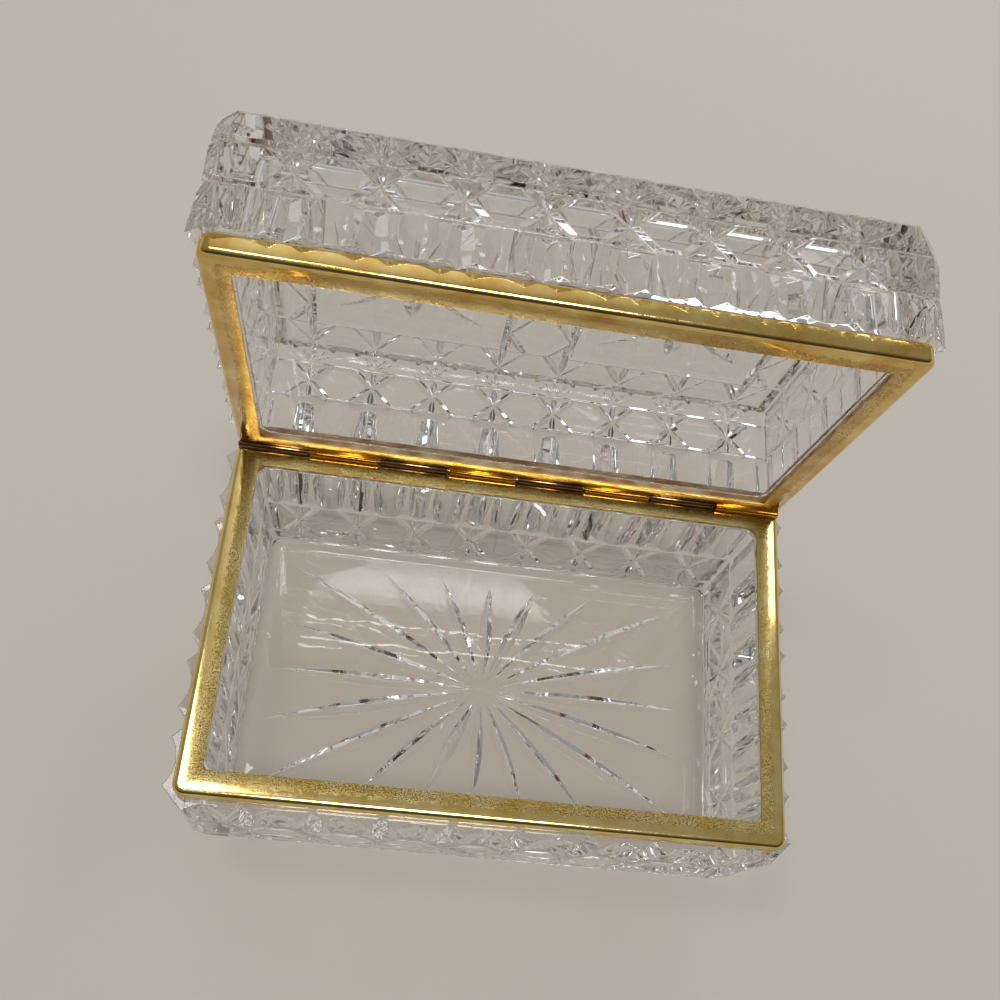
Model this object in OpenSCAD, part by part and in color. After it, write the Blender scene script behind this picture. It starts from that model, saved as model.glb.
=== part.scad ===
// Pressed-glass casket: a heavy glass box and its hinged glass lid, each set in a
// brass frame. The lid stands open on its stop; the frames close face to face.
// The origin is the centre of the foot, +X runs along the hinge, +Y to the back.

/* [Brass frames] */
// Outer length of both frames, along the hinge
frame_l = 151.8; // [110:0.2:200]
// Outer width of both frames, front to back
frame_w = 94.8; // [75:0.2:130]
// Width of the flat band that faces the other frame
band = 6.5; // [4.8:0.1:8]
// Height of the skirt that laps over the glass rim
skirt = 4.8; // [3.6:0.1:7]
// Thickness of the brass strip
strip = 0.6; // [0.4:0.1:1]
// Radius of the frames' four outer corners
frame_corner = 3; // [2:0.1:5]
// Radius of the frames' rolled outer edge
frame_roll = 1.2; // [0.6:0.1:1.6]
// Gap between the two frames when the lid is shut
frame_gap = 0.1; // [0.05:0.05:0.4]

/* [Glass] */
// Height of the base from the foot to the parting plane
base_h = 53; // [46:1:80]
// Height of the lid from the parting plane to its top
lid_h = 33.5; // [30:0.5:50]
// Depth of the base's fluted rim below the parting plane
base_flute = 26.4; // [16:0.2:28]
// Height of the lid's fluted rim above the parting plane
lid_flute = 13.9; // [10:0.1:16]
// Thickness of the base's floor
floor_t = 6.5; // [4:0.5:10]
// Thickness of the lid's top
top_t = 5.5; // [4:0.5:10]
// How far the fluted rim stands out past the frames
rim_out = 2.9; // [2.4:0.1:5]
// How far the walls beyond the rim stand out past the frames
wall_out = 1.3; // [0.6:0.1:1.8]
// Slope of the cavity walls, in degrees
draft = 2.5; // [0:0.5:4]
// Radius of the cavity's upright corners
inner_corner = 3.5; // [3:0.5:10]
// Radius between the cavity's walls and its closed end
inner_cove = 3; // [1:0.5:3]
// Leg of the flat that cuts each upright corner
corner_cut = 5.5; // [4:0.5:8]
// How far a sloping facet cuts each corner back at the closed end
corner_facet = 2.5; // [0.5:0.5:4]
// Thickness of the cement between glass and brass
cement = 0.4; // [0.2:0.1:0.8]
// Depth of the cement between the glass edge and the band
cement_top = 1.5; // [1.4:0.1:2.4]

/* [Pressed pattern] */
// Flutes and buttons along each long side
long_count = 9; // [7:2:13]
// Flutes and buttons along each short side
short_count = 5; // [3:2:7]
// Depth of the flutes at the rim
flute_depth = 2; // [1:0.1:2.4]
// Width of the mitre cuts between the buttons
mitre_w = 2.2; // [1:0.1:3]
// Leg of a button's cut corners along its row
button_cut = 5.4; // [3:0.1:6]
// Height of the fans between the base's buttons and its foot
base_fan = 6; // [5:0.1:9]
// Height of the fans between the lid's buttons and its top
lid_fan = 7.7; // [5:0.1:9]
// Rays in a fan
fan_rays = 5; // [3:2:5]
// Depth of the leaf-shaped cuts in the lid's top
leaf_depth = 1.7; // [0.5:0.1:2]
// Half width of a leaf-shaped cut at its middle
leaf_half_w = 2.4; // [1:0.1:3]
// Rays in the sunburst under the floor
sun_rays = 20; // [12:4:28]
// Depth of the sunburst rays
sun_depth = 1.6; // [0.5:0.1:2]
// Half width of a sunburst ray at its middle
sun_half_w = 2; // [1:0.1:2.4]

/* [Hinge] */
// How far the hinge's axis lies in from the frames' back edge
hinge_in = 1; // [0.3:0.1:1.2]
// Outer radius of the knuckles
knuckle_r = 1.5; // [1.3:0.1:1.6]
// Radius of the hinge pin
pin_r = 0.7; // [0.5:0.05:0.9]
// Play between the pin and the knuckles, on the radius
pin_play = 0.05; // [0.02:0.01:0.1]
// Gap between neighbouring knuckles
knuckle_gap = 0.2; // [0.1:0.05:0.5]
// Gap round a knuckle where the other frame makes room for it
knuckle_room = 0.3; // [0.2:0.05:0.4]
// Thickness of the leaf that ties a knuckle to its frame's skirt
leaf_t = 0.4; // [0.3:0.1:0.6]
// Angle of the lid when it rests on its stop
open_angle = 85; // [0:1:88]

/* [Hidden] */
$fn = 64;
glass_colour = [0.86, 0.88, 0.87, 0.45];
brass_colour = [0.80, 0.65, 0.32];
cement_colour = [0.78, 0.74, 0.64];
cut_over = 1;

half_l = frame_l / 2;
half_w = frame_w / 2;
face = frame_gap / 2;
open_l = half_l - band;
open_w = half_w - band;
neck_l = half_l - strip - cement;
neck_w = half_w - strip - cement;
neck_top = face + strip + cement_top;
bead = 0.4;
rim_z = face + skirt + bead;
tip_l = half_l + rim_out;
tip_w = half_w + rim_out;
wall_l = half_l + wall_out;
wall_w = half_w + wall_out;
rim_draft = 1;
ledge = 1;
closed_edge = 1.4;
row_land = 0.9;
end_land = 4.2;
pitch_l = (2 * tip_l - end_land) / long_count;
pitch_w = (2 * tip_w - end_land) / short_count;
flute_share = 0.61;
fan_spread = 30;
fan_foot = 0.4;

// ---- shapes shared by the two glass shells -----------------------------------------
// A shell is drawn with its mouth at z = 0 and its closed end at z = h.

module rounded_rect(l, w, r) {
  square([l - 2 * r, w], center = true);
  square([l, w - 2 * r], center = true);
  for (x = [-1, 1], y = [-1, 1]) translate([x * (l / 2 - r), y * (w / 2 - r)]) circle(r);
}

// Side view of a shell: neck inside the frame, fluted rim, ledge and plain wall.
module shell_profile(neck, tip, wall, h, flute) {
  side = [
    [neck, neck_top], [neck, rim_z], [tip, rim_z], [tip - rim_draft, flute],
    [wall, flute + ledge], [wall, h - closed_edge], [wall - closed_edge, h]
  ];
  mirrored = [for (i = [len(side) - 1 : -1 : 0]) [-side[i][0], side[i][1]]];
  polygon(concat(side, mirrored));
}

// Plan of the shell beyond the frame, with its four corners cut flat.
module cut_corner_plan() {
  reach = tip_l + tip_w - corner_cut;
  polygon([
    [tip_l, reach - tip_l], [reach - tip_w, tip_w], [tip_w - reach, tip_w], [-tip_l, reach - tip_l],
    [-tip_l, tip_l - reach], [tip_w - reach, -tip_w], [reach - tip_w, -tip_w], [tip_l, tip_l - reach]
  ]);
}

// The outer form is where the two side views and the plan meet.
module shell_outside(h, flute) {
  intersection() {
    rotate([90, 0, 0])
      linear_extrude(height = 4 * tip_w, center = true)
        shell_profile(neck_l, tip_l, wall_l, h, flute);
    rotate([90, 0, 90])
      linear_extrude(height = 4 * tip_l, center = true)
        shell_profile(neck_w, tip_w, wall_w, h, flute);
    union() {
      linear_extrude(height = rim_z)
        rounded_rect(2 * neck_l, 2 * neck_w, frame_corner - strip - cement);
      translate([0, 0, rim_z]) linear_extrude(height = h) cut_corner_plan();
    }
  }
}

// Half section of one bottom corner of the cavity.
module cove_section() {
  flat = inner_corner - inner_cove;
  steps = 5;
  polygon(concat(
    [[0, 0], [inner_corner, 0]],
    [for (a = [90 / steps : 90 / steps : 90]) [flat + inner_cove * cos(a), inner_cove * sin(a)]],
    [[0, inner_cove]]
  ));
}

// The cavity narrows from the mouth to the closed end and has a coved edge there.
module shell_cavity(depth) {
  inset = depth * tan(draft);
  mouth = [open_l - inner_corner, open_w - inner_corner];
  hull() {
    for (x = [-1, 1], y = [-1, 1]) {
      translate([x * mouth[0], y * mouth[1], 0]) cylinder(r = inner_corner, h = 1, $fn = 32);
      translate([x * (mouth[0] - inset), y * (mouth[1] - inset), depth - inner_cove])
        rotate_extrude($fn = 32) cove_section();
    }
  }
}

module long_sides() {
  for (a = [0, 180]) rotate([0, 0, a]) children();
}

module short_sides() {
  for (a = [90, 270]) rotate([0, 0, a]) children();
}

// Concave flutes with a mitred notch between each two, along the side that faces -Y.
module rim_flutes(count, pitch, tip, flute) {
  chord = flute_share * pitch;
  radius = (chord * chord / 4 + flute_depth * flute_depth) / (2 * flute_depth);
  for (i = [0 : count - 1])
    translate([(i - (count - 1) / 2) * pitch, -tip - radius + flute_depth, rim_z - cut_over])
      cylinder(r = radius, h = flute - rim_z + cut_over + 1.5);
  for (i = [1 : count - 1])
    translate([(i - count / 2) * pitch, -tip, rim_z - cut_over])
      linear_extrude(height = flute - rim_z + cut_over)
        rotate(45) square((pitch - chord) / sqrt(2), center = true);
}

// A mitre cut of length l along X: square in section, with one edge down in the face.
module mitre(l, w) {
  rotate([45, 0, 0]) cube([l, w / sqrt(2), w / sqrt(2)], center = true);
}

// Crossing cuts where four buttons meet, in the face that looks along -Y.
module star(half) {
  lean = atan2(half, button_cut);
  for (s = [-1, 1]) rotate([0, s * lean, 0]) mitre(2 * norm([half, button_cut]), mitre_w);
  rotate([0, 90, 0]) mitre(2 * half - row_land, mitre_w * 0.8);
}

// Short cuts that spread from a point towards the closed end.
module fan(l) {
  for (i = [0 : fan_rays - 1])
    rotate([0, (i - (fan_rays - 1) / 2) * fan_spread, 0])
      translate([0, 0, l / 2]) rotate([0, 90, 0]) mitre(l, mitre_w * 0.45);
}

// One row of buttons on a wall, and the fans between it and the closed end.
module button_row(count, pitch, wall, z, half, fan_l) {
  for (i = [1 : count - 1])
    translate([(i - count / 2) * pitch, -wall, z]) {
      star(half);
      translate([0, 0, half + fan_foot]) fan(fan_l);
    }
  for (s = [-1, 1])
    translate([0, -wall, z + s * half]) mitre(count * pitch + end_land, mitre_w * 0.7);
}

// Sloping facets that take the four upright corners back towards the closed end.
module corner_facets(h, tall) {
  size = 4 * corner_cut;
  for (x = [-1, 1], y = [-1, 1])
    translate([x * (tip_l - corner_cut / 2), y * (tip_w - corner_cut / 2), h - tall])
      rotate([0, 0, atan2(y, x)]) rotate([0, -atan2(corner_facet, tall), 0])
        translate([0, -size / 2, 0]) cube(size);
}

// All the relief on a shell's four sides.
module side_relief(h, flute, fan_band) {
  low = flute + ledge + row_land;
  high = h - fan_band;
  long_sides() {
    rim_flutes(long_count, pitch_l, tip_w, flute);
    button_row(long_count, pitch_l, wall_w, (low + high) / 2, (high - low) / 2, fan_band);
  }
  short_sides() {
    rim_flutes(short_count, pitch_w, tip_l, flute);
    button_row(short_count, pitch_w, wall_l, (low + high) / 2, (high - low) / 2, fan_band);
  }
}

// A leaf-shaped cut as a wheel with a mitred rim leaves it, along +X from r0 to r1,
// sunk into the face that looks along +Z.
module leaf(r0, r1, depth, half_w) {
  l = r1 - r0;
  wheel = l * l / (8 * depth) + depth / 2;
  rim = depth * 1.5;
  reach = asin((l / 2 + rim) / wheel);
  translate([(r0 + r1) / 2, 0, wheel - depth])
    rotate([90, 90 + reach, 0])
      rotate_extrude(angle = 2 * reach, $fn = 96)
        polygon([
          [wheel - rim, -half_w * rim / depth], [wheel, 0], [wheel - rim, half_w * rim / depth]
        ]);
}

// ---- base glass ------------------------------------------------------------------

sun_squeeze = 0.75;
sun_hub = 3.5;
sun_l = open_l - 8.4;
sun_w = open_w - 7.6;

function ray_angle(i) = atan2(sun_squeeze * sin(360 * i / sun_rays), cos(360 * i / sun_rays));

function ray_reach(a) = min(sun_l / max(abs(cos(a)), 0.01), sun_w / max(abs(sin(a)), 0.01));

module base_glass() {
  color(glass_colour)
    translate([0, 0, base_h]) mirror([0, 0, 1]) difference() {
      shell_outside(base_h, base_flute);
      shell_cavity(base_h - floor_t);
      side_relief(base_h, base_flute, base_fan);
      corner_facets(base_h, base_fan + 1);
      translate([0, 0, base_h])
        for (i = [0 : sun_rays - 1])
          rotate([0, 0, ray_angle(i)]) leaf(sun_hub, ray_reach(ray_angle(i)), sun_depth, sun_half_w);
    }
}

// ---- lid glass -------------------------------------------------------------------

post_l = pitch_l / 2;
post_end = (long_count - 2) * pitch_l / 2;
border_w = (short_count - 2) * pitch_w / 2;

// Where buttons meet on the lid's top. side picks the half that is cut: -1, 1 or 0 for both.
module top_star(side) {
  half = pitch_w / 2;
  lean = atan2(half, button_cut);
  arm = norm([half, button_cut]);
  for (t = [-1, 1], s = side == 0 ? [-1, 1] : [side])
    rotate([0, 0, 90 - s * t * (90 - lean) + (t < 0 ? 180 : 0)])
      translate([arm / 2, 0, 0]) mitre(arm, mitre_w);
}

// A ring of buttons round the top, with more down the middle and the two ends.
module top_lattice() {
  for (s = [-1, 1]) {
    for (i = [1 : long_count - 1])
      translate([(i - long_count / 2) * pitch_l, s * (short_count - 1) * pitch_w / 2, 0]) {
        top_star(0);
        rotate([0, 0, 90]) mitre(pitch_w, mitre_w * 0.8);
      }
    for (j = [-(short_count - 3) / 2 : (short_count - 3) / 2]) {
      translate([s * post_l, j * pitch_w, 0]) top_star(-s);
      translate([s * post_end, j * pitch_w, 0]) top_star(s);
    }
    for (x = [post_l, post_end]) translate([s * x, 0, 0]) rotate([0, 0, 90]) mitre(2 * border_w, mitre_w * 1.2);
    translate([0, s * border_w, 0]) mitre(long_count * pitch_l, mitre_w * 0.6);
    for (j = [1 : short_count - 3])
      translate([s * (long_count - 1) * pitch_l / 2, (j - (short_count - 2) / 2) * pitch_w, 0])
        mitre(pitch_l, mitre_w * 0.6);
  }
  for (j = [1 : short_count - 3])
    translate([0, (j - (short_count - 2) / 2) * pitch_w, 0]) mitre(pitch_l, mitre_w * 0.6);
}

leaf_hub = 3;

// The leaves reach farthest into a panel's corners.
function leaf_reach(a, l, w) = a % 90 != 0 ? 0.45 * w : a % 180 == 0 ? 0.4 * l : 0.33 * w;

// Eight leaves in each of the two plain panels.
module top_leaves() {
  panel_l = post_end - post_l;
  panel_w = 2 * border_w;
  for (s = [-1, 1])
    translate([s * (post_l + post_end) / 2, 0, 0])
      for (a = [0 : 45 : 315])
        rotate([0, 0, a])
          leaf(leaf_hub, leaf_reach(a, panel_l, panel_w), leaf_depth, leaf_half_w);
}

module in_lid() {
  translate([0, axis_y, base_h]) rotate([-open_angle, 0, 0]) translate([0, -axis_y, 0]) children();
}

module lid_glass() {
  color(glass_colour) in_lid() difference() {
    shell_outside(lid_h, lid_flute);
    shell_cavity(lid_h - top_t);
    side_relief(lid_h, lid_flute, lid_fan);
    corner_facets(lid_h, lid_fan + 1);
    translate([0, 0, lid_h]) {
      top_lattice();
      top_leaves();
    }
  }
}

// ---- brass frames and their cement -----------------------------------------------

knuckles = 8;
axis_y = half_w - hinge_in;
hinge_l = frame_l - 0.4;
knuckle_l = hinge_l / knuckles;
leaf_h = skirt - 1;

// A cylinder on the hinge's axis that covers one knuckle's place.
module at_knuckle(slot, r, l) {
  translate([(slot - (knuckles - 1) / 2) * knuckle_l - l / 2, axis_y, 0]) rotate([0, 90, 0]) cylinder(r = r, h = l);
}

// Side view of a block with its two edges at z = 0 rolled round.
module rolled_profile(l, h) {
  translate([0, (h + frame_roll) / 2]) square([l, h - frame_roll], center = true);
  translate([0, frame_roll / 2]) square([l - 2 * frame_roll, frame_roll], center = true);
  for (s = [-1, 1]) translate([s * (l / 2 - frame_roll), frame_roll]) circle(frame_roll);
}

// A block with rounded corners and a rolled edge all round.
module rolled_block(l, w, h) {
  intersection() {
    rotate([90, 0, 0]) linear_extrude(height = 2 * w, center = true) rolled_profile(l, h);
    rotate([90, 0, 90]) linear_extrude(height = 2 * l, center = true) rolled_profile(w, h);
    linear_extrude(height = h) rounded_rect(l, w, frame_corner);
  }
}

// A frame with its band at the mouth. own is 0 for the base and 1 for the lid.
module frame(own) {
  difference() {
    translate([0, 0, face]) rolled_block(frame_l, frame_w, skirt);
    translate([0, 0, face + strip]) linear_extrude(height = skirt)
      rounded_rect(frame_l - 2 * strip, frame_w - 2 * strip, frame_corner - strip);
    translate([0, 0, -cut_over]) linear_extrude(height = skirt) square([2 * open_l, 2 * open_w], center = true);
    for (slot = [0 : knuckles - 1])
      if (slot % 2 == own) at_knuckle(slot, knuckle_r, knuckle_l);
      else at_knuckle(slot, knuckle_r + knuckle_room, knuckle_l + knuckle_gap);
  }
}

// Cement that fills the frame round the glass neck and shows as a bead under the skirt.
module bedding() {
  recess = 0.5;
  difference() {
    translate([0, 0, face + strip]) linear_extrude(height = rim_z - face - strip)
      rounded_rect(frame_l - 2 * strip, frame_w - 2 * strip, frame_corner - strip);
    translate([0, 0, neck_top]) linear_extrude(height = rim_z)
      rounded_rect(2 * neck_l, 2 * neck_w, frame_corner - strip - cement);
    linear_extrude(height = rim_z)
      rounded_rect(2 * (open_l + recess), 2 * (open_w + recess), inner_corner);
    at_knuckle((knuckles - 1) / 2, knuckle_r + knuckle_room, hinge_l + 2 * knuckle_gap);
  }
}

module in_base() {
  translate([0, 0, base_h]) mirror([0, 0, 1]) children();
}

module base_frame() {
  color(brass_colour) in_base() frame(0);
}

module base_bedding() {
  color(cement_colour) in_base() bedding();
}

module lid_frame() {
  color(brass_colour) in_lid() frame(1);
}

module lid_bedding() {
  color(cement_colour) in_lid() bedding();
}

// ---- hinge -----------------------------------------------------------------------

// A rolled knuckle with the leaf that lies on the outside of its frame's back skirt.
module knuckle(slot) {
  l = knuckle_l - knuckle_gap;
  difference() {
    union() {
      at_knuckle(slot, knuckle_r, l);
      translate([(slot - (knuckles - 1) / 2) * knuckle_l - l / 2, half_w, 0]) cube([l, leaf_t, leaf_h]);
    }
    at_knuckle(slot, pin_r + pin_play, knuckle_l + cut_over);
  }
}

module base_knuckle(n) {
  color(brass_colour) in_base() knuckle(2 * n - 2);
}

module lid_knuckle(n) {
  color(brass_colour) in_lid() knuckle(2 * n - 1);
}

module hinge_pin() {
  color(brass_colour) translate([0, 0, base_h]) at_knuckle((knuckles - 1) / 2, pin_r, hinge_l);
}

base_glass();
base_bedding();
base_frame();
base_knuckle(1);  // base_knuckle_1
base_knuckle(2);  // base_knuckle_2
base_knuckle(3);  // base_knuckle_3
base_knuckle(4);  // base_knuckle_4
hinge_pin();
lid_glass();
lid_bedding();
lid_frame();
lid_knuckle(1);  // lid_knuckle_1
lid_knuckle(2);  // lid_knuckle_2
lid_knuckle(3);  // lid_knuckle_3
lid_knuckle(4);  // lid_knuckle_4
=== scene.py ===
"""Looks of the open pressed-glass casket with its gilt brass frames, in metres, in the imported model's frame."""

from __future__ import annotations

import logging
import math
from dataclasses import dataclass, replace
from enum import Enum
from typing import Callable, ClassVar

import bmesh
import bpy
from mathutils import Matrix, Vector

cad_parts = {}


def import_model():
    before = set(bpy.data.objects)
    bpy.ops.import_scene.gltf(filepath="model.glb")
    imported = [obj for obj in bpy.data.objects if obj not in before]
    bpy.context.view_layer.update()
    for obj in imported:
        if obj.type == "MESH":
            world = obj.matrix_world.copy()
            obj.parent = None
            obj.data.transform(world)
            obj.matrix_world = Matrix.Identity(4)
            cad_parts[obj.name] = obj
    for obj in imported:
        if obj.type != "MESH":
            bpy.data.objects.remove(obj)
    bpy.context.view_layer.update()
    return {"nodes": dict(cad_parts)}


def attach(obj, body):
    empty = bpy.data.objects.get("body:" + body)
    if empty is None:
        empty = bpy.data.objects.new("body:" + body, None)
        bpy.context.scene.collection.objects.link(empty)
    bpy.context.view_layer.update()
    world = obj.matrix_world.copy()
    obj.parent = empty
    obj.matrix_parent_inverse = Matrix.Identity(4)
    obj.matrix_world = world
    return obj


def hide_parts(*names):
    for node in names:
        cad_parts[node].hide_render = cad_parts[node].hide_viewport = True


LOG = logging.getLogger("casket")
MM = 0.001


class Side(Enum):
    """The two halves of the casket, by the CAD body that each rides on."""

    BASE = "base"
    LID = "lid"


class Shading(Enum):
    """How blunt an edge has to be, in degrees, to be shaded smooth."""

    CRISP = 30.0
    SOFT = 60.0


@dataclass(frozen=True)
class Sizes:
    """Main sizes of the casket, in metres, as the solids have them."""

    frame_l: float = 151.8 * MM
    frame_w: float = 94.8 * MM
    band: float = 6.5 * MM
    skirt: float = 4.8 * MM
    strip: float = 0.6 * MM
    corner: float = 3 * MM
    roll: float = 1.6 * MM
    face: float = 0.05 * MM
    base_h: float = 53 * MM
    open_angle: float = math.radians(85)
    knuckle_r: float = 1.5 * MM
    room: float = 0.3 * MM
    pin_r: float = 0.7 * MM
    knuckles: int = 8
    hinge_l: float = 151.4 * MM
    hinge_in: float = 1 * MM
    knuckle_gap: float = 0.2 * MM
    rim_z: float = 5.25 * MM

    @property
    def axis_y(self) -> float:
        """Distance of the hinge's axis behind the middle."""
        return self.frame_w / 2 - self.hinge_in

    @property
    def knuckle_l(self) -> float:
        """Length of one knuckle's place along the hinge."""
        return self.hinge_l / self.knuckles

    def slot_x(self, slot: int) -> float:
        """Middle of a knuckle's place.

        Args:
            slot: place of the knuckle, 0 at the left end.

        Returns:
            Its X position.
        """
        return (slot - (self.knuckles - 1) / 2) * self.knuckle_l

    def placing(self, side: Side) -> Matrix:
        """Where a half belongs.

        Args:
            side: the half whose pieces were built with the mouth at z = 0 and the glass above it.

        Returns:
            The matrix that turns the base's pieces over, or opens the lid's.
        """
        if side is Side.BASE:
            return Matrix.Translation((0, 0, self.base_h)) @ Matrix.Scale(-1, 4, (0, 0, 1))
        hinge = Vector((0, self.axis_y, 0))
        lift = Matrix.Translation((0, 0, self.base_h)) @ Matrix.Translation(hinge)
        return lift @ Matrix.Rotation(-self.open_angle, 4, "X") @ Matrix.Translation(-hinge)


SIZES = Sizes()


# ---- colour and node helpers -------------------------------------------------------


def linear(code: str) -> tuple[float, float, float, float]:
    """Turns a colour as written for a screen into scene-linear light.

    Args:
        code: six hex digits.

    Returns:
        Red, green, blue and a full alpha.
    """
    parts = [int(code[i : i + 2], 16) / 255 for i in (0, 2, 4)]
    r, g, b = (p / 12.92 if p <= 0.04045 else ((p + 0.055) / 1.055) ** 2.4 for p in parts)
    return (r, g, b, 1.0)


def add(
    tree: bpy.types.NodeTree, kind: str, settings: dict | None = None, links: dict | None = None
) -> bpy.types.Node:
    """Adds a node with its settings and links.

    Args:
        tree: the node tree to add to.
        kind: the node's type name.
        settings: a value for each input socket or property named; a colour ramp takes a list of stops.
        links: the output socket that feeds each input named.

    Returns:
        The new node.
    """
    node = tree.nodes.new(kind)
    for name, value in (settings or {}).items():
        if name == "stops":
            for element, (place, colour) in zip(node.color_ramp.elements, value):
                element.position, element.color = place, colour
            for place, colour in value[2:]:
                node.color_ramp.elements.new(place).color = colour
        elif isinstance(name, int) or name in node.inputs:
            node.inputs[name].default_value = value
        else:
            setattr(node, name, value)
    for name, output in (links or {}).items():
        tree.links.new(output, node.inputs[name])
    return node


def grey(value: float) -> tuple[float, float, float, float]:
    """A grey for a ramp stop."""
    return (value, value, value, 1.0)


# ---- finishes ----------------------------------------------------------------------


@dataclass(frozen=True)
class PressedSodaLimeGlass:
    """Soda-lime glass pressed in an iron mould, then fire-polished: clear and faintly grey, its edges a little
    soft and its flats gently rippled, so that lines seen through it waver."""

    name: str = "pressed soda-lime glass"
    tint: str = "F3F2F0"
    ior: float = 1.52
    roughness: float = 0.012
    ripple_mm: float = 9.0
    ripple_depth_mm: float = 0.4
    ripple: float = 0.10
    edge_mm: float = 0.4
    edge_samples: int = 8
    lets_through: str = "FDFCFA"

    def make(self) -> bpy.types.Material:
        """Builds the material.

        Returns:
            The new material.
        """
        material = bpy.data.materials.new(self.name)
        material.use_nodes = True
        tree = material.node_tree
        shader = tree.nodes["Principled BSDF"]
        shader.inputs["Base Color"].default_value = linear(self.tint)
        shader.inputs["Transmission Weight"].default_value = 1.0
        shader.inputs["IOR"].default_value = self.ior
        shader.inputs["Roughness"].default_value = self.roughness
        place = add(tree, "ShaderNodeTexCoord")
        ripple = add(
            tree,
            "ShaderNodeTexNoise",
            {"Scale": 1 / (self.ripple_mm * MM), "Detail": 1.0, "Roughness": 0.4},
            {"Vector": place.outputs["Object"]},
        )
        bump = add(
            tree,
            "ShaderNodeBump",
            {"Strength": self.ripple, "Distance": self.ripple_depth_mm * MM},
            {"Height": ripple.outputs["Fac"]},
        )
        rounded = add(tree, "ShaderNodeBevel", {"samples": self.edge_samples, "Radius": self.edge_mm * MM})
        tree.links.new(rounded.outputs["Normal"], bump.inputs["Normal"])
        tree.links.new(bump.outputs["Normal"], shader.inputs["Normal"])
        path = add(tree, "ShaderNodeLightPath")
        for_lamps = add(
            tree,
            "ShaderNodeMath",
            {"operation": "MAXIMUM"},
            {0: path.outputs["Is Shadow Ray"], 1: path.outputs["Is Diffuse Ray"]},
        )
        clear = add(tree, "ShaderNodeBsdfTransparent", {"Color": linear(self.lets_through)})
        surface = add(
            tree,
            "ShaderNodeMixShader",
            None,
            {0: for_lamps.outputs[0], 1: shader.outputs[0], 2: clear.outputs[0]},
        )
        tree.links.new(surface.outputs[0], tree.nodes["Material Output"].inputs["Surface"])
        return material


@dataclass(frozen=True)
class GiltBrass:
    """Rolled brass strip with a thin gilt wash, handled for years: satin gold, full of fine dark specks where
    the wash has gone, in soft random clouds of paler and deeper gold; the frame's version adds a painted highlight
    along the outer edge."""

    name: str
    bright: str = "EAD59C"
    deep: str = "D6BC82"
    speck: str = "5E4A22"
    grain_mm: float = 0.22
    specks: float = 0.75
    roughness: float = 0.14
    pits: float = 0.25
    pit_depth_mm: float = 0.05
    cloud_mm: float = 9.0
    fleck_band: tuple[float, float] = (0.48, 0.55)
    sheen: tuple[float, float] = (-0.03, 0.12)
    inner_band_blur: float = 0.2

    def painted_reflection_mask(self, tree: bpy.types.NodeTree, place: bpy.types.Node) -> bpy.types.NodeSocket | None:
        """The share of flecks and extra roughness, kept off the outer edge as a painted highlight, or nothing
        where the finish is the same all over.
        """
        return None

    def make(self) -> bpy.types.Material:
        """Builds the material.

        Returns:
            The new material.
        """
        material = bpy.data.materials.new(self.name)
        material.use_nodes = True
        tree = material.node_tree
        shader = tree.nodes["Principled BSDF"]
        shader.inputs["Metallic"].default_value = 1.0
        place = add(tree, "ShaderNodeTexCoord")
        cloud = add(
            tree,
            "ShaderNodeTexNoise",
            {"Scale": 1 / (self.cloud_mm * MM), "Detail": 3.0, "Roughness": 0.6},
            {"Vector": place.outputs["Object"]},
        )
        grain = add(
            tree,
            "ShaderNodeTexNoise",
            {"Scale": 1 / (self.grain_mm * MM), "Detail": 1.0, "Roughness": 0.5},
            {"Vector": place.outputs["Object"]},
        )
        wear = add(
            tree,
            "ShaderNodeMapRange",
            {"From Min": 0.35, "From Max": 0.65, "To Min": 0.0, "To Max": 1.0},
            {"Value": cloud.outputs["Fac"]},
        )
        gold = add(
            tree,
            "ShaderNodeMix",
            {"data_type": "RGBA", 6: linear(self.bright), 7: linear(self.deep)},
            {0: wear.outputs["Result"]},
        )
        fleck = add(
            tree,
            "ShaderNodeMapRange",
            {"From Min": self.fleck_band[0], "From Max": self.fleck_band[1], "To Min": 0.0, "To Max": self.specks},
            {"Value": grain.outputs["Fac"]},
        )
        low, high = (self.roughness + shift for shift in self.sheen)
        satin = add(
            tree,
            "ShaderNodeMapRange",
            {"From Min": 0.35, "From Max": 0.65, "To Min": low, "To Max": high},
            {"Value": grain.outputs["Fac"]},
        )
        pits = add(
            tree,
            "ShaderNodeBump",
            {"Strength": self.pits, "Distance": self.pit_depth_mm * MM},
            {"Height": grain.outputs["Fac"]},
        )
        # painted highlight and reflection: the mask keeps flecks off the outer edge and puts them, with extra
        # roughness, on the inner band
        share = self.painted_reflection_mask(tree, place)
        if share:
            fleck = add(tree, "ShaderNodeMath", {"operation": "MULTIPLY"}, {0: fleck.outputs["Result"], 1: share})
            blur = add(tree, "ShaderNodeMath", {"operation": "MULTIPLY", 1: self.inner_band_blur}, {0: share})
            satin = add(tree, "ShaderNodeMath", {"operation": "ADD"}, {0: satin.outputs[0], 1: blur.outputs[0]})
        colour = add(
            tree,
            "ShaderNodeMix",
            {"data_type": "RGBA", 7: linear(self.speck)},
            {0: fleck.outputs[0], 6: gold.outputs[2]},
        )
        tree.links.new(colour.outputs[2], shader.inputs["Base Color"])
        tree.links.new(satin.outputs[0], shader.inputs["Roughness"])
        tree.links.new(pits.outputs["Normal"], shader.inputs["Normal"])
        return material


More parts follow.
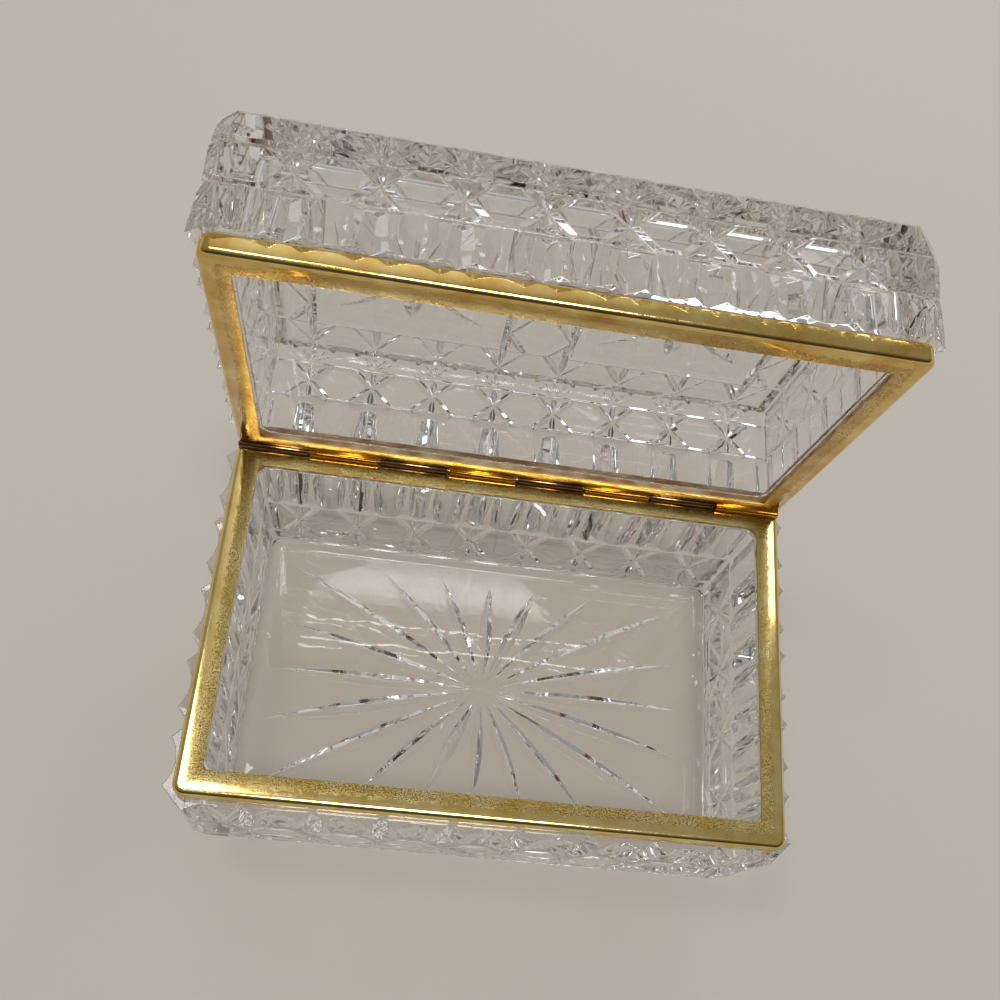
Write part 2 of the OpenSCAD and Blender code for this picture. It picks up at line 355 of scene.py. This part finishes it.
@dataclass(frozen=True)
class GiltBrassPaintedEdgeHighlight(GiltBrass):
    """The same strip on a frame, with painted light: a strip along the rolled outer edge is kept clean bright gold
    as a painted highlight, while the dark flecks of the worn gilt fill only the inner part of the band, where they
    also stand as painted reflection; that part is a little rougher."""

    side: Side = Side.BASE
    painted_highlight_mm: float = 3.1
    full_flecks_mm: float = 3.7
    ragged_mm: float = 1.6
    waver_mm: float = 0.6

    def painted_reflection_mask(self, tree: bpy.types.NodeTree, place: bpy.types.Node) -> bpy.types.NodeSocket:
        """Grows from nothing at the frame's outer edge to all on the inner part of the band.

        Args:
            tree: the material's nodes.
            place: its coordinates.

        Returns:
            The share of dark flecks, painted reflection on the inner band, and of extra roughness.
        """
        back = SIZES.placing(self.side).inverted()
        turn = SIZES.open_angle if self.side is Side.LID else 0.0
        shift = back.translation if self.side is Side.LID else Vector()
        own = add(
            tree,
            "ShaderNodeMapping",
            {"Location": tuple(shift), "Rotation": (turn, 0, 0)},
            {"Vector": place.outputs["Object"]},
        )
        reach = add(tree, "ShaderNodeVectorMath", {"operation": "ABSOLUTE"}, {0: own.outputs[0]})
        half = (SIZES.frame_l / 2, SIZES.frame_w / 2, 1.0)
        left = add(tree, "ShaderNodeVectorMath", {"operation": "SUBTRACT", 0: half}, {1: reach.outputs[0]})
        split = add(tree, "ShaderNodeSeparateXYZ", None, {0: left.outputs[0]})
        edge = add(
            tree,
            "ShaderNodeMath",
            {"operation": "MINIMUM"},
            {0: split.outputs["X"], 1: split.outputs["Y"]},
        )
        ragged = add(
            tree,
            "ShaderNodeTexNoise",
            {"Scale": 1 / (self.ragged_mm * MM), "Detail": 3.0},
            {"Vector": place.outputs["Object"]},
        )
        waver = add(
            tree,
            "ShaderNodeMapRange",
            {"From Min": 0.3, "From Max": 0.7, "To Min": -self.waver_mm * MM, "To Max": self.waver_mm * MM},
            {"Value": ragged.outputs["Fac"]},
        )
        spot = add(tree, "ShaderNodeMath", {"operation": "ADD"}, {0: edge.outputs[0], 1: waver.outputs[0]})
        share = add(
            tree,
            "ShaderNodeMapRange",
            {"From Min": self.painted_highlight_mm * MM, "From Max": self.full_flecks_mm * MM},
            {"Value": spot.outputs[0]},
        )
        return share.outputs[0]


@dataclass(frozen=True)
class StainedPlaster:
    """Plaster that beds the glass in its frame: pale and chalky, with amber and brown stains of old glue."""

    name: str = "stained plaster bedding"
    pale: str = "B9A27A"
    amber: str = "8A5E24"
    lump_mm: float = 1.1
    lump_depth_mm: float = 0.2
    stain_mm: float = 7.0

    def make(self) -> bpy.types.Material:
        """Builds the material.

        Returns:
            The new material.
        """
        material = bpy.data.materials.new(self.name)
        material.use_nodes = True
        tree = material.node_tree
        shader = tree.nodes["Principled BSDF"]
        shader.inputs["Roughness"].default_value = 0.62
        place = add(tree, "ShaderNodeTexCoord")
        lumps = add(
            tree,
            "ShaderNodeTexNoise",
            {"Scale": 1 / (self.lump_mm * MM), "Detail": 4.0},
            {"Vector": place.outputs["Object"]},
        )
        stain = add(
            tree,
            "ShaderNodeTexNoise",
            {"Scale": 1 / (self.stain_mm * MM), "Detail": 2.0},
            {"Vector": place.outputs["Object"]},
        )
        stops = [(0.36, linear(self.pale)), (0.62, linear(self.amber))]
        colour = add(tree, "ShaderNodeValToRGB", {"stops": stops}, {"Fac": stain.outputs["Fac"]})
        rough = add(
            tree,
            "ShaderNodeBump",
            {"Strength": 0.6, "Distance": self.lump_depth_mm * MM},
            {"Height": lumps.outputs["Fac"]},
        )
        tree.links.new(colour.outputs["Color"], shader.inputs["Base Color"])
        tree.links.new(rough.outputs["Normal"], shader.inputs["Normal"])
        return material


@dataclass(frozen=True)
class PaleFloor:
    """Plain matt studio floor."""

    name: str = "pale matt floor"
    colour: str = "CFC7BC"

    def make(self) -> bpy.types.Material:
        """Builds the material.

        Returns:
            The new material.
        """
        material = bpy.data.materials.new(self.name)
        material.use_nodes = True
        shader = material.node_tree.nodes["Principled BSDF"]
        shader.inputs["Base Color"].default_value = linear(self.colour)
        shader.inputs["Roughness"].default_value = 0.9
        shader.inputs["Specular IOR Level"].default_value = 0.2
        return material


# ---- modelling helpers -------------------------------------------------------------


def start_edit(piece: bpy.types.Object) -> None:
    """Opens one piece for editing, with nothing selected in it.

    Args:
        piece: the mesh object to edit.
    """
    bpy.ops.object.select_all(action="DESELECT")
    piece.select_set(True)
    bpy.context.view_layer.objects.active = piece
    bpy.ops.object.mode_set(mode="EDIT")
    bpy.ops.mesh.select_all(action="DESELECT")


def end_edit() -> None:
    """Closes the piece that is being edited."""
    bpy.ops.object.mode_set(mode="OBJECT")


def pick_edges(piece: bpy.types.Object, test: Callable[[Vector, Vector], bool]) -> None:
    """Selects edges of the edited piece by where they are.

    Args:
        piece: the piece that is being edited.
        test: says whether an edge between two points belongs.
    """
    bpy.ops.mesh.select_mode(type="EDGE")
    mesh = bmesh.from_edit_mesh(piece.data)
    for edge in mesh.edges:
        edge.select_set(test(edge.verts[0].co, edge.verts[1].co))
    mesh.select_flush_mode()
    bmesh.update_edit_mesh(piece.data)


def pick_faces(piece: bpy.types.Object, test: Callable[[Vector, Vector], bool]) -> None:
    """Selects faces of the edited piece by place and direction.

    Args:
        piece: the piece that is being edited.
        test: says whether a face with this middle and normal belongs.
    """
    bpy.ops.mesh.select_mode(type="FACE")
    mesh = bmesh.from_edit_mesh(piece.data)
    for face in mesh.faces:
        face.select_set(test(face.calc_center_median(), face.normal))
    mesh.select_flush_mode()
    bmesh.update_edit_mesh(piece.data)


def block(name: str, size: Vector, low_z: float, place: tuple[float, float] = (0.0, 0.0)) -> bpy.types.Object:
    """A cube primitive brought to a size, with its place in its mesh.

    Args:
        name: the new object's name.
        size: its length, width and height.
        low_z: height of its lowest face.
        place: X and Y of its middle.

    Returns:
        The new block.
    """
    bpy.ops.object.select_all(action="DESELECT")
    bpy.ops.mesh.primitive_cube_add(size=1)
    piece = bpy.context.active_object
    piece.name = piece.data.name = name
    bpy.ops.object.mode_set(mode="EDIT")
    bpy.ops.mesh.select_all(action="SELECT")
    bpy.ops.transform.resize(value=tuple(size))
    bpy.ops.transform.translate(value=(place[0], place[1], low_z + size.z / 2))
    end_edit()
    return piece


def rod(name: str, radius: float, length: float, middle: Vector, sides: int = 48) -> bpy.types.Object:
    """A cylinder primitive laid along X, with its place in its mesh.

    Args:
        name: the new object's name.
        radius: its radius.
        length: its length along X.
        middle: its middle.
        sides: number of faces round it.

    Returns:
        The new rod.
    """
    bpy.ops.object.select_all(action="DESELECT")
    bpy.ops.mesh.primitive_cylinder_add(vertices=sides, radius=radius, depth=length, rotation=(0, math.pi / 2, 0))
    piece = bpy.context.active_object
    piece.name = piece.data.name = name
    bpy.ops.object.transform_apply(location=True, rotation=True, scale=True)
    piece.data.transform(Matrix.Translation(middle))
    return piece


def finish_with(piece: bpy.types.Object, kind: str, settings: dict) -> None:
    """Adds one modifier to a piece and applies it.

    Args:
        piece: the piece to change.
        kind: the modifier's type.
        settings: a value for each of its properties named.
    """
    bpy.ops.object.select_all(action="DESELECT")
    piece.select_set(True)
    bpy.context.view_layer.objects.active = piece
    modifier = piece.modifiers.new(kind.lower(), kind)
    for name, value in settings.items():
        setattr(modifier, name, value)
    bpy.ops.object.modifier_apply(modifier=modifier.name)


def cut_with(piece: bpy.types.Object, cutter: bpy.types.Object) -> None:
    """Takes one shape out of a piece and drops the shape.

    Args:
        piece: the piece to cut.
        cutter: what is taken out.
    """
    finish_with(piece, "BOOLEAN", {"operation": "DIFFERENCE", "solver": "EXACT", "object": cutter})
    bpy.data.objects.remove(cutter)


def smooth(piece: bpy.types.Object, edge: Shading = Shading.CRISP) -> None:
    """Shades a piece smooth but for its real edges.

    Args:
        piece: the piece to shade.
        edge: how blunt an edge has to be to look smooth.
    """
    bpy.ops.object.select_all(action="DESELECT")
    piece.select_set(True)
    bpy.context.view_layer.objects.active = piece
    bpy.ops.object.shade_smooth_by_angle(angle=math.radians(edge.value))


def put(piece: bpy.types.Object, side: Side) -> None:
    """Moves a piece's mesh from the half's own frame to where the half stands.

    Args:
        piece: the piece, built with its mouth at z = 0.
        side: the half that it belongs to.
    """
    piece.data.transform(SIZES.placing(side))
    start_edit(piece)
    bpy.ops.mesh.select_all(action="SELECT")
    bpy.ops.mesh.normals_make_consistent(inside=False)
    end_edit()


def dress(
    piece: bpy.types.Object, material: bpy.types.Material, side: Side, stands_for: str = ""
) -> None:
    """Gives a new piece its finish, its body and its place in the record.

    Args:
        piece: the finished piece.
        material: its finish.
        side: the half that it rides on.
        stands_for: the CAD node that it replaces, if any.
    """
    piece.data.materials.clear()
    piece.data.materials.append(material)
    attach(piece, side.value)
    if stands_for:
        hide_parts(stands_for)
    LOG.info("%s: %d faces, rides on %s", piece.name, len(piece.data.polygons), side.value)


# ---- the casket's sub-assemblies ---------------------------------------------------


@dataclass
class BrassFrame:
    """A frame of brass strip: flat band, rolled edge and skirt, notched for the hinge."""

    side: Side
    gilt: bpy.types.Material
    sizes: Sizes = SIZES
    fine_edge: float = 0.1 * MM
    lip: float = 0.45 * MM

    def strip(self) -> bpy.types.Object:
        """Rounds a block's corners and rim, then hollows it from behind.

        Returns:
            The frame before its opening and hinge notches are cut.
        """
        s = self.sizes
        piece = block(f"{self.side.value}_brass_frame", Vector((s.frame_l, s.frame_w, s.skirt)), s.face)
        start_edit(piece)
        pick_edges(piece, lambda a, b: abs(a.z - b.z) > s.skirt / 2)
        bpy.ops.mesh.bevel(offset=s.corner, offset_type="OFFSET", segments=8, affect="EDGES")
        pick_edges(piece, lambda a, b: max(a.z, b.z) < s.face + s.roll / 4)
        bpy.ops.mesh.bevel(offset=s.roll, offset_type="OFFSET", segments=10, affect="EDGES")
        pick_faces(piece, lambda c, n: n.z > 0.9)
        bpy.ops.mesh.inset(thickness=s.strip, depth=0)
        bpy.ops.mesh.extrude_region_move(TRANSFORM_OT_translate={"value": (0, 0, s.strip - s.skirt)})
        lowest = s.face + s.skirt - MM
        pick_edges(piece, lambda a, b: min(a.z, b.z) > lowest and self.outside(a) and self.outside(b))
        bpy.ops.mesh.bevel(offset=self.lip, offset_type="OFFSET", segments=4, affect="EDGES")
        end_edit()
        return piece

    def outside(self, point: Vector) -> bool:
        """Whether a point lies on the frame's outer wall.

        Args:
            point: the point, in the half's own frame.

        Returns:
            True on the wall, with its rounded corners.
        """
        s = self.sizes
        near = 0.001 * MM
        corner = Vector((s.frame_l / 2 - s.corner, s.frame_w / 2 - s.corner))
        beyond = Vector((max(abs(point.x) - corner.x, 0), max(abs(point.y) - corner.y, 0)))
        return beyond.length > s.corner - near

    def notched(self, piece: bpy.types.Object) -> None:
        """Cuts the opening and the hinge's notches.

        Args:
            piece: the frame to cut.
        """
        s = self.sizes
        opening = Vector((s.frame_l - 2 * s.band, s.frame_w - 2 * s.band, 4 * s.skirt))
        cut_with(piece, block("opening", opening, -2 * s.skirt))
        own = 0 if self.side is Side.BASE else 1
        for slot in range(s.knuckles):
            middle = Vector((s.slot_x(slot), s.axis_y, 0))
            if slot % 2 == own:
                cut_with(piece, rod("notch", s.knuckle_r, s.knuckle_l, middle))
            else:
                cut_with(piece, rod("notch", s.knuckle_r + s.room, s.knuckle_l + s.knuckle_gap, middle))

    def build(self) -> None:
        """Makes the frame and hands it over in place of its CAD node."""
        piece = self.strip()
        self.notched(piece)
        settings = {
            "width": self.fine_edge,
            "segments": 2,
            "limit_method": "ANGLE",
            "angle_limit": math.radians(40),
        }
        finish_with(piece, "BEVEL", settings)
        put(piece, self.side)
        smooth(piece)
        dress(piece, self.gilt, self.side, f"{self.side.value}_frame")


@dataclass
class Hinge:
    """Eight rolled knuckles, four on each frame, and the wire through them."""

    gilt: dict[Side, bpy.types.Material]
    dark: bpy.types.Material
    sizes: Sizes = SIZES
    radius: ClassVar[dict[Side, float]] = {Side.BASE: 1.36 * MM, Side.LID: 1.7 * MM}
    seams: ClassVar[dict[Side, tuple[float, ...]]] = {Side.BASE: (118.0,), Side.LID: (64.0, 127.0)}
    seam_depth: float = 0.22 * MM
    seam_inset: float = 0.02 * MM
    one_facet: float = 0.9975
    gap: float = 0.75 * MM
    wall: float = 0.6 * MM
    leaf_t: float = 0.45 * MM
    leaf_z: float = 3.8 * MM
    fine_edge: float = 0.08 * MM
    wire_edge: float = 0.25 * MM

    def knuckle(self, name: str, side: Side, slot: int) -> bpy.types.Object:
        """Rolls one knuckle with the leaf that lies on its frame's skirt.

        Args:
            name: the new object's name.
            side: the half that it belongs to.
            slot: the knuckle's place along the hinge.

        Returns:
            The knuckle, in its half's own frame.
        """
        s = self.sizes
        length = s.knuckle_l - self.gap
        piece = rod(name, self.radius[side], length, Vector((s.slot_x(slot), s.axis_y, 0)), 40)
        start_edit(piece)
        pick_faces(piece, lambda c, n: abs(n.x) > 0.9)
        bpy.ops.mesh.inset(thickness=self.wall, depth=0)
        bpy.ops.mesh.bridge_edge_loops()
        for turn in self.seams[side]:
            way = self.seam_way(side, turn)
            pick_faces(piece, lambda c, n: n.dot(way) > self.one_facet)
            bpy.ops.mesh.inset(thickness=self.seam_inset, depth=-self.seam_depth)
        back = s.axis_y + s.hinge_in
        pick_faces(piece, lambda c, n: c.z > 0 and n.z > 0.15 and back < c.y < back + self.leaf_t)
        bpy.ops.mesh.extrude_region_move(TRANSFORM_OT_translate={"value": (0, 0, self.leaf_z)})
        bpy.ops.transform.resize(value=(1, 1, 0), center_override=(0, back, self.leaf_z))
        end_edit()
        settings = {
            "width": self.fine_edge,
            "segments": 2,
            "limit_method": "ANGLE",
            "angle_limit": math.radians(45),
        }
        finish_with(piece, "BEVEL", settings)
        return piece

    @staticmethod
    def seam_way(side: Side, turn: float) -> Vector:
        """Direction in which a seam faces, in its half's own frame.

        Args:
            side: the half that the knuckle belongs to.
            turn: angle of the seam on the finished casket, in degrees from the front up and over to the back.

        Returns:
            A unit vector.
        """
        angle = math.radians(turn)
        way = Vector((0, -math.cos(angle), math.sin(angle)))
        return SIZES.placing(side).to_3x3().inverted() @ way

    def build(self) -> None:
        """Makes the knuckles and the pin and hands them over in place of their CAD nodes."""
        s = self.sizes
        for side, first in ((Side.BASE, 0), (Side.LID, 1)):
            for n in range(4):
                node = f"{side.value}_knuckle_{n + 1}"
                piece = self.knuckle(f"{node}_rolled", side, first + 2 * n)
                put(piece, side)
                smooth(piece)
                dress(piece, self.gilt[side], side, node)
        pin = rod("hinge_wire", s.pin_r, s.hinge_l, Vector((0, s.axis_y, s.base_h)), 24)
        start_edit(pin)
        pick_edges(pin, lambda a, b: abs(a.x - b.x) < 1e-6)
        bpy.ops.mesh.bevel(offset=self.wire_edge, segments=3, affect="EDGES")
        end_edit()
        smooth(pin)
        dress(pin, self.dark, Side.BASE, "hinge_pin")


@dataclass
class GlueBead:
    """The uneven bead of bedding that was squeezed out under a frame's skirt."""

    side: Side
    plaster: bpy.types.Material
    sizes: Sizes = SIZES
    inset: float = 0.55 * MM
    tuck: float = 0.25 * MM
    width: float = 0.4 * MM
    overlap: float = 0.02 * MM
    lumps: float = 0.12 * MM
    reach_mm: tuple[int, int] = (72, 44)
    step_mm: int = 2
    seed: int = 7

    def build(self) -> None:
        """Makes the bead between the skirt and the glass rim."""
        s = self.sizes
        low, high = s.face + s.skirt - self.tuck, s.rim_z + self.overlap
        outer = Vector((s.frame_l - 2 * self.inset, s.frame_w - 2 * self.inset, high - low))
        piece = block(f"{self.side.value}_glue_bead", outer, low)
        start_edit(piece)
        pick_edges(piece, lambda a, b: abs(a.z - b.z) > (high - low) / 2)
        bpy.ops.mesh.bevel(offset=s.corner, segments=6, affect="EDGES")
        pick_faces(piece, lambda c, n: abs(n.z) > 0.9)
        bpy.ops.mesh.inset(thickness=self.width, depth=0)
        bpy.ops.mesh.bridge_edge_loops()
        bpy.ops.mesh.select_all(action="SELECT")
        bpy.ops.mesh.remove_doubles(threshold=0.001 * MM)
        end_edit()
        for reach, way in zip(self.reach_mm, (Vector((1, 0, 0)), Vector((0, 1, 0)))):
            for place in range(-reach, reach + 1, self.step_mm):
                self.slice(piece, way * (place * MM), way)
        start_edit(piece)
        bpy.ops.mesh.select_all(action="SELECT")
        bpy.ops.transform.vertex_random(offset=self.lumps, uniform=0.5, normal=0.4, seed=self.seed)
        end_edit()
        put(piece, self.side)
        smooth(piece, Shading.SOFT)
        dress(piece, self.plaster, self.side)

    @staticmethod
    def slice(piece: bpy.types.Object, point: Vector, normal: Vector) -> None:
        """Adds a ring of points where a plane crosses the bead.

        Args:
            piece: the bead.
            point: a point of the plane.
            normal: the plane's direction.
        """
        start_edit(piece)
        bpy.ops.mesh.select_all(action="SELECT")
        bpy.ops.mesh.bisect(plane_co=tuple(point), plane_no=tuple(normal))
        end_edit()


@dataclass
class GlassShells:
    """The two castings, whose CAD nodes have the right shape and take the glass finish."""

    glass: bpy.types.Material
    plaster: bpy.types.Material
    nodes: dict[str, bpy.types.Object]
    SHELLS: ClassVar[tuple[str, ...]] = ("base_glass", "lid_glass")
    BEDS: ClassVar[tuple[str, ...]] = ("base_bedding", "lid_bedding")

    def build(self) -> None:
        """Dresses the castings and their bedding."""
        for name in self.SHELLS + self.BEDS:
            node = self.nodes[name]
            node.data.materials.clear()
            node.data.materials.append(self.glass if name in self.SHELLS else self.plaster)
            LOG.info("%s: CAD node, %d faces", name, len(node.data.polygons))


@dataclass
class Studio:
    """Pale floor, soft lamps, a plain room and the camera."""

    floor_size: float = 6.0
    floor_drop: float = 0.15 * MM
    lens: float = 40.39
    camera_at: tuple[float, float, float] = (-0.03134, -0.09398, 0.32942)
    camera_turn: tuple[float, float, float] = (23.5524, -9.7108, 3.5276)
    shift: tuple[float, float] = (-0.0427, 0.0341)
    aim: ClassVar[tuple[float, float, float]] = (0, 0, 0.05)
    bright_way: tuple[float, float, float] = (-0.1, 0.66, 0.745)
    horizon: str = "D8D4CE"
    bounces: int = 32
    mirror_turns: int = 12

    def floor(self) -> None:
        """Lays the floor just under the casket's foot."""
        bpy.ops.object.select_all(action="DESELECT")
        bpy.ops.mesh.primitive_plane_add(size=self.floor_size, location=(0, 0, 0))
        floor = bpy.context.active_object
        floor.name = floor.data.name = "floor"
        floor.data.transform(Matrix.Translation((0, 0, -self.floor_drop)))
        floor.data.materials.append(PaleFloor().make())

    def room(self) -> None:
        """Lights the scene all round: a ceiling brightest at the back left, a dim front and a pale horizon."""
        world = bpy.data.worlds.new("studio room")
        bpy.context.scene.world = world
        world.use_nodes = True
        tree = world.node_tree
        place = add(tree, "ShaderNodeTexCoord")
        split = add(tree, "ShaderNodeSeparateXYZ", None, {"Vector": place.outputs["Generated"]})
        lean = add(
            tree,
            "ShaderNodeVectorMath",
            {"operation": "DOT_PRODUCT", 1: self.bright_way},
            {0: place.outputs["Generated"]},
        )
        stops = [
            (0.0, grey(0.05)),
            (0.25, grey(0.15)),
            (0.5, grey(0.27)),
            (0.92, grey(0.32)),
            (1.0, grey(1.0)),
        ]
        sky = add(tree, "ShaderNodeValToRGB", {"stops": stops}, {"Fac": lean.outputs["Value"]})
        low = add(
            tree,
            "ShaderNodeMapRange",
            {"From Min": 0.04, "From Max": 0.36, "To Min": 1.0, "To Max": 0.0},
            {"Value": split.outputs["Z"]},
        )
        colour = add(
            tree,
            "ShaderNodeMix",
            {"data_type": "RGBA", 7: linear(self.horizon)},
            {0: low.outputs["Result"], 6: sky.outputs["Color"]},
        )
        tree.links.new(colour.outputs[2], tree.nodes["Background"].inputs["Color"])

    @classmethod
    def lamp(cls, name: str, place: Vector, size: float, power: float, colour: str = "FFFFFF") -> None:
        """Hangs one square soft lamp that faces the casket.

        Args:
            name: the lamp's name.
            place: where it hangs.
            size: its side.
            power: its power in watts.
            colour: the tint of its light.
        """
        light = bpy.data.lights.new(name, "AREA")
        light.shape, light.size, light.energy = "SQUARE", size, power
        light.color = linear(colour)[:3]
        lamp = bpy.data.objects.new(name, light)
        bpy.context.scene.collection.objects.link(lamp)
        lamp.location = place
        lamp.rotation_euler = (Vector(cls.aim) - place).to_track_quat("-Z", "Y").to_euler()

    @staticmethod
    def overhead(name: str, way: Vector, spread: float, strength: float) -> None:
        """Lights the whole floor evenly from one soft round patch of the ceiling.

        Args:
            name: the light's name.
            way: direction towards it.
            spread: how wide the patch looks, in degrees.
            strength: its light on the floor, in watts per square metre.
        """
        light = bpy.data.lights.new(name, "SUN")
        light.energy, light.angle = strength, math.radians(spread)
        patch = bpy.data.objects.new(name, light)
        bpy.context.scene.collection.objects.link(patch)
        patch.rotation_euler = way.to_track_quat("Z", "Y").to_euler()

    def camera(self) -> None:
        """Sets the camera at the photograph's viewing angle."""
        data = bpy.data.cameras.new("camera")
        data.sensor_width, data.lens = 36.0, self.lens
        data.shift_x, data.shift_y = self.shift
        data.clip_start = 0.01
        camera = bpy.data.objects.new("camera", data)
        camera.location = self.camera_at
        camera.rotation_euler = [math.radians(a) for a in self.camera_turn]
        bpy.context.scene.collection.objects.link(camera)
        bpy.context.scene.camera = camera

    def see_through_thick_glass(self) -> None:
        """Lets light turn often enough inside the thick glass for its cuts not to go black."""
        cycles = bpy.context.scene.cycles
        for kind in ("max_bounces", "transmission_bounces", "transparent_max_bounces"):
            setattr(cycles, kind, self.bounces)
        cycles.glossy_bounces = self.mirror_turns

    def build(self) -> None:
        """Makes the whole set."""
        self.floor()
        self.room()
        self.lamp("left ceiling lamp", Vector((-0.331, 0.159, 1.205)), 0.24, 1.2)
        self.overhead("overhead light", Vector((0.043, -0.163, 0.985)), 16.0, 1.07)
        self.lamp("window-side softbox", Vector((0.5, 1.05, 0.85)), 0.6, 3.5, "F0F6FF")
        self.camera()
        bpy.context.scene.view_settings.view_transform = "Standard"
        self.see_through_thick_glass()


def main() -> None:
    """Builds the casket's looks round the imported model."""
    logging.basicConfig(level=logging.INFO, format="%(name)s %(message)s")
    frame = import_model()
    Studio().build()
    # bare wire: darker and redder than the strip, seen only in the gaps between knuckles
    wire = GiltBrass("drawn brass wire", bright="C9A55A", deep="8F6A2E", specks=0.3).make()
    plaster = StainedPlaster().make()
    polished = GiltBrassPaintedEdgeHighlight("", roughness=0.07, pits=0.06)
    gilt = {
        # pale gold; dark flecks fill the inner half of the band as painted reflection, its outer edge kept bright
        # as a painted highlight
        Side.BASE: replace(
            polished,
            name="gold-washed rolled brass, painted edge highlight",
            bright="EED894",
            deep="DFBE6C",
            speck="4A3A12",
            grain_mm=0.27,
            specks=0.95,
            side=Side.BASE,
        ),
        # deeper, more orange gold, cloudy, with few flecks, kept to the inner band by the same painted highlight
        # and reflection mask
        Side.LID: replace(
            polished,
            name="gold-washed rolled brass, tarnished, painted edge highlight",
            bright="EACF84",
            deep="D3A857",
            speck="54380F",
            grain_mm=0.3,
            specks=0.55,
            side=Side.LID,
        ),
    }
    for side in Side:
        BrassFrame(side, gilt[side].make()).build()
        GlueBead(side, plaster).build()
    tube = GiltBrass("", grain_mm=0.3, specks=0.5, roughness=0.1, pits=0.1)
    # the lid's knuckles are painted orange: a painted reflection of the gold band beside them
    amber = replace(
        tube, name="gold-washed rolled brass, painted amber reflection", bright="EAA63A", deep="C98522", speck="5A3010"
    )
    # the base's knuckles are painted brown: a painted reflection of the dark surroundings in front of them
    brown = replace(tube, name="rolled brass, painted brown reflection", bright="A98155", deep="7C5631", speck="33200F")
    knuckles = {Side.LID: amber.make(), Side.BASE: brown.make()}
    Hinge(knuckles, wire).build()
    GlassShells(PressedSodaLimeGlass().make(), plaster, frame["nodes"]).build()


if __name__ == "__main__":
    main()
